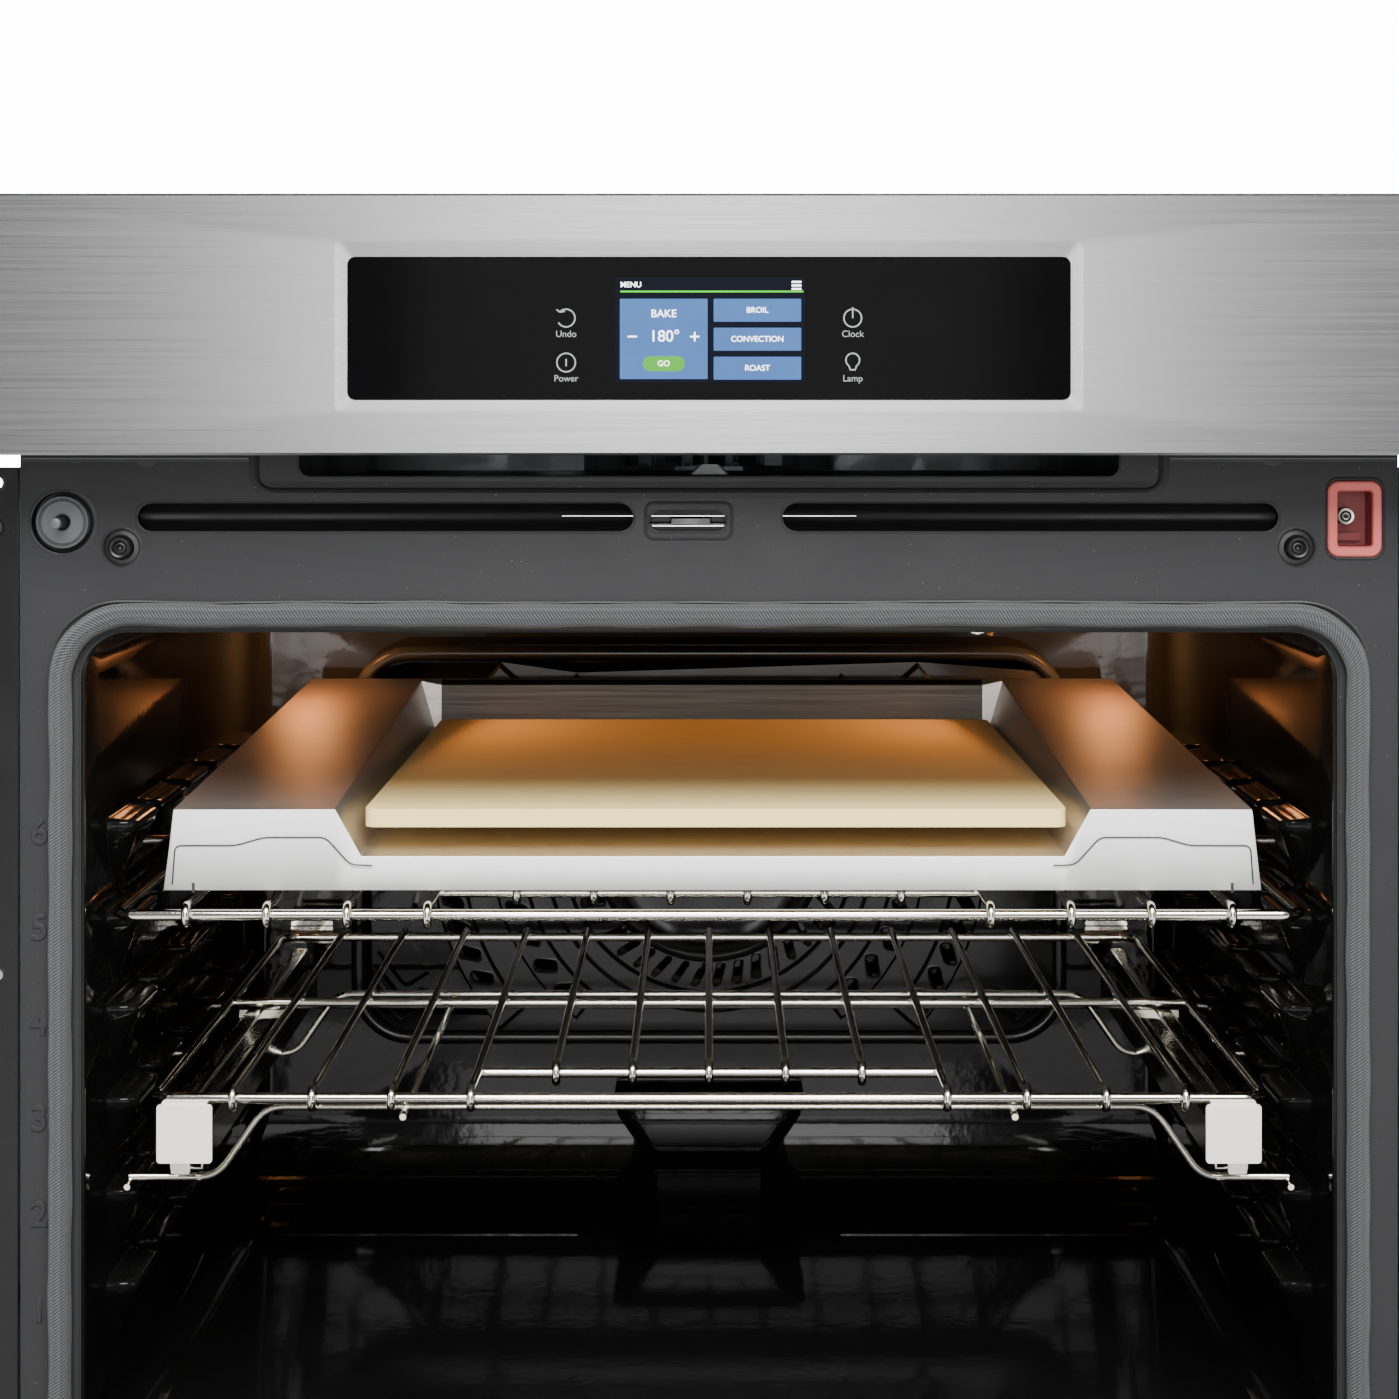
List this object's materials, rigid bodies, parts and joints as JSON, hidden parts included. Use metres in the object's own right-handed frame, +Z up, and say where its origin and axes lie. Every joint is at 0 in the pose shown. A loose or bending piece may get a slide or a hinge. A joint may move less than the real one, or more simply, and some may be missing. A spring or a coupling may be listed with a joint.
{
  "type": "wall oven",
  "caption": "Built-in electric wall oven with drop-down door, touch control panel, fan, pull-out glide rack, upper rack, steel pizza tray and baking stone.",
  "frame": {"origin": "middle of the underside of the base pan, which stands on the cabinet's deck", "axes": "+Z up, -Y is the front of the oven, +X to the right of someone who faces it"},
  "size_m": [0.762, 1.1833, 0.7895],
  "materials": {
    "stainless_steel": "fine horizontal brushing",
    "galvanised_steel": "matt zinc coated sheet",
    "grey_enamel": "satin porcelain enamel with tiny pale specks",
    "black_enamel": "glossy dark porcelain enamel",
    "control_glass": "opaque black back-printed glass",
    "door_glass": "grey tinted heat-resistant glass",
    "clear_glass": "clear borosilicate glass",
    "chrome_wire": "bright plated wire",
    "slide_steel": "satin nickel-plated steel",
    "braid": "woven glass fibre and wire braid",
    "bumper_rubber": "matt moulded rubber",
    "red_silicone": "satin moulded silicone",
    "nickel": "bright nickel plate",
    "grey_plastic": "satin moulded plastic",
    "stone": "unglazed cream cordierite",
    "mineral_wool": "loose mineral wool",
    "circuit_board": "green circuit board",
    "screen_module": "lit colour screen",
    "heater_sheath": "dark oxidised heater sheath"
  },
  "bodies": {
    "oven": {"base_pan": "galvanised_steel", "left_side_panel": "galvanised_steel", "right_side_panel": "galvanised_steel", "rear_panel": "galvanised_steel", "top_cover": "galvanised_steel", "cable_gland": "nickel", "left_side_trim": "grey_enamel", "right_side_trim": "grey_enamel", "bottom_trim": "grey_enamel", "front_frame": "grey_enamel", "oven_gasket": "braid", "switch_body": "grey_plastic", "left_bumper": "bumper_rubber", "right_bumper": "bumper_rubber", "probe_jack_housing": "red_silicone", "probe_jack": "nickel", "cavity_liner": "black_enamel", "insulation_wrap": "mineral_wool", "fan_cover": "black_enamel", "convection_element": "heater_sheath", "convection_motor": "galvanised_steel", "broil_element": "heater_sheath", "bake_element": "heater_sheath", "left_lamp": "clear_glass", "right_lamp": "clear_glass", "temperature_sensor": "nickel", "control_fascia": "stainless_steel", "control_glass": "control_glass", "display_module": "screen_module", "control_board": "circuit_board", "air_duct": "black_enamel", "blower_housing": "galvanised_steel", "latch_housing": "galvanised_steel", "left_hinge_receiver": "galvanised_steel", "right_hinge_receiver": "galvanised_steel", "left_hinge_pin": "nickel", "right_hinge_pin": "nickel", "glide_base": "chrome_wire", "left_slide_rail": "slide_steel", "right_slide_rail": "slide_steel"},
    "door": {"door_outer_skin": "stainless_steel", "door_outer_glass": "door_glass", "door_liner": "grey_enamel", "door_inner_glass": "clear_glass", "handle_bar": "stainless_steel", "left_handle_post": "stainless_steel", "right_handle_post": "stainless_steel", "left_hinge_arm": "nickel", "right_hinge_arm": "nickel"},
    "upper_rack": {"upper_rack": "chrome_wire"},
    "pizza_tray": {"pizza_tray": "stainless_steel"},
    "pizza_stone": {"pizza_stone": "stone"},
    "glide_rack": {"glide_rack": "chrome_wire", "left_slide_runner": "slide_steel", "right_slide_runner": "slide_steel"},
    "switch_plunger": {"switch_plunger": "nickel"},
    "latch_hook": {"latch_hook": "nickel"},
    "convection_fan": {"convection_fan": "nickel"},
    "blower_wheel": {"blower_wheel": "galvanised_steel"}
  },
  "joints": [
    {"name": "door_swing", "type": "hinge", "parent": "oven", "child": "door", "pos_m": [0, -0.3065, 0.02], "axis": [1, 0, 0], "range_deg": [-90, 0]},
    {"name": "switch_travel", "type": "slide", "parent": "oven", "child": "switch_plunger", "axis": [0, 1, 0], "range_m": [0, 0.006]},
    {"name": "latch_travel", "type": "slide", "parent": "oven", "child": "latch_hook", "axis": [0, -1, 0], "range_m": [0, 0.02]},
    {"name": "upper_rack_slide", "type": "slide", "parent": "oven", "child": "upper_rack", "axis": [0, -1, 0], "range_m": [0, 0.3]},
    {"name": "tray_lift", "type": "slide", "parent": "upper_rack", "child": "pizza_tray", "axis": [0, 0, 1], "range_m": [0, 0.02]},
    {"name": "stone_lift", "type": "slide", "parent": "pizza_tray", "child": "pizza_stone", "axis": [0, 0, 1], "range_m": [0, 0.03]},
    {"name": "glide_rack_slide", "type": "slide", "parent": "oven", "child": "glide_rack", "axis": [0, -1, 0], "range_m": [0, 0.3]},
    {"name": "convection_fan_spin", "type": "hinge", "parent": "oven", "child": "convection_fan", "pos_m": [0, 0.2075, 0.305], "axis": [0, 1, 0], "continuous": true},
    {"name": "blower_spin", "type": "hinge", "parent": "oven", "child": "blower_wheel", "pos_m": [0, 0.1375, 0.6], "axis": [0, 0, 1], "continuous": true}
  ],
  "couplings": [
    {"joint": "switch_travel", "follows": "door_swing", "m_per_rad": -0.00381}
  ]
}
